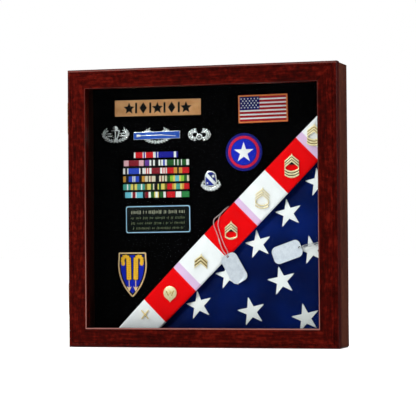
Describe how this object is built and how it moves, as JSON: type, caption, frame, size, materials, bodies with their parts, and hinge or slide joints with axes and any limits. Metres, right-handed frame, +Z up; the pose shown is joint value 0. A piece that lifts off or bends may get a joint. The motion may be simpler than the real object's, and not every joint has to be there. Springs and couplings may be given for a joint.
{
  "type": "folded flag display case",
  "caption": "Glazed mahogany shadow box with a hinged door, a folded flag in one corner and service keepsakes on a black velvet board.",
  "frame": {"origin": "middle of the underside of the felt base, where the case stands", "axes": "-Y out of the glazed front, +Y towards the wall, +X to the viewer's right, +Z up"},
  "size_m": [0.4636, 0.0813, 0.4581],
  "materials": {
    "mahogany": "stained dark red, satin lacquer",
    "felt": "matt",
    "hardboard": "matt, dark brown",
    "velvet": "black pile",
    "brass_fittings": "satin brass",
    "steel_fittings": "zinc plated",
    "glass": "clear",
    "blue_flag_cloth": "woven cotton",
    "striped_flag_cloth": "woven cotton, red and white",
    "tape_cloth": "woven tan tape",
    "embroidery": "satin stitched",
    "silver_badges": "oxidised silver plate",
    "ribbon_cloth": "ribbed silk",
    "engraved_plaque": "dark satin enamel",
    "gold_pins": "gold plate and black enamel",
    "tag_steel": "matt stainless steel"
  },
  "bodies": {
    "case": {"base_felt": "felt", "top_board": "mahogany", "bottom_board": "mahogany", "left_board": "mahogany", "right_board": "mahogany", "back_panel": "hardboard", "back_panel_screws": "steel_fittings", "display_board": "velvet", "upper_hinge_case_leaf": "brass_fittings", "lower_hinge_case_leaf": "brass_fittings", "hinge_pins": "brass_fittings", "hinge_case_screws": "brass_fittings", "catch_magnets": "steel_fittings", "folded_flag": "blue_flag_cloth", "striped_fold": "striped_flag_cloth", "name_tape": "tape_cloth", "flag_patch": "embroidery", "round_patch": "embroidery", "shield_patch": "embroidery", "wreath_badge_left": "silver_badges", "bar_badge_middle": "silver_badges", "wreath_badge_right": "silver_badges", "ribbon_mount": "steel_fittings", "ribbon_row_1": "ribbon_cloth", "ribbon_row_2": "ribbon_cloth", "ribbon_row_3": "ribbon_cloth", "ribbon_row_4": "ribbon_cloth", "ribbon_row_5": "ribbon_cloth", "ribbon_row_6": "ribbon_cloth", "crest_pin": "silver_badges", "plaque": "engraved_plaque", "rank_pin_1": "gold_pins", "rank_pin_2": "gold_pins", "rank_pin_3": "gold_pins", "rank_pin_4": "gold_pins", "rank_pin_5": "gold_pins", "rank_pin_6": "gold_pins", "rank_pin_7": "gold_pins", "left_tag": "tag_steel", "right_tag": "tag_steel", "left_tag_chain": "tag_steel", "right_tag_chain": "tag_steel", "left_hanger_plate": "brass_fittings", "right_hanger_plate": "brass_fittings", "hanger_screws": "brass_fittings"},
    "door": {"door_top_rail": "mahogany", "door_bottom_rail": "mahogany", "door_left_stile": "mahogany", "door_right_stile": "mahogany", "glass_pane": "glass", "glass_stop_top": "mahogany", "glass_stop_bottom": "mahogany", "glass_stop_left": "mahogany", "glass_stop_right": "mahogany", "upper_hinge_door_leaf": "brass_fittings", "lower_hinge_door_leaf": "brass_fittings", "hinge_door_screws": "brass_fittings", "strike_plates": "steel_fittings"},
    "left_ring": {"left_hanger_ring": "brass_fittings"},
    "right_ring": {"right_hanger_ring": "brass_fittings"}
  },
  "joints": [
    {"name": "door_hinge", "type": "hinge", "parent": "case", "child": "door", "pos_m": [-0.232, -0.01875, 0.2295], "axis": [0, 0, -1], "range_deg": [0, 180]},
    {"name": "left_ring_swing", "type": "hinge", "parent": "case", "child": "left_ring", "pos_m": [-0.21321, 0.0407, 0.3495], "axis": [1, 0, 0], "range_deg": [0, 180]},
    {"name": "right_ring_swing", "type": "hinge", "parent": "case", "child": "right_ring", "pos_m": [0.21321, 0.0407, 0.3495], "axis": [1, 0, 0], "range_deg": [0, 180]}
  ]
}
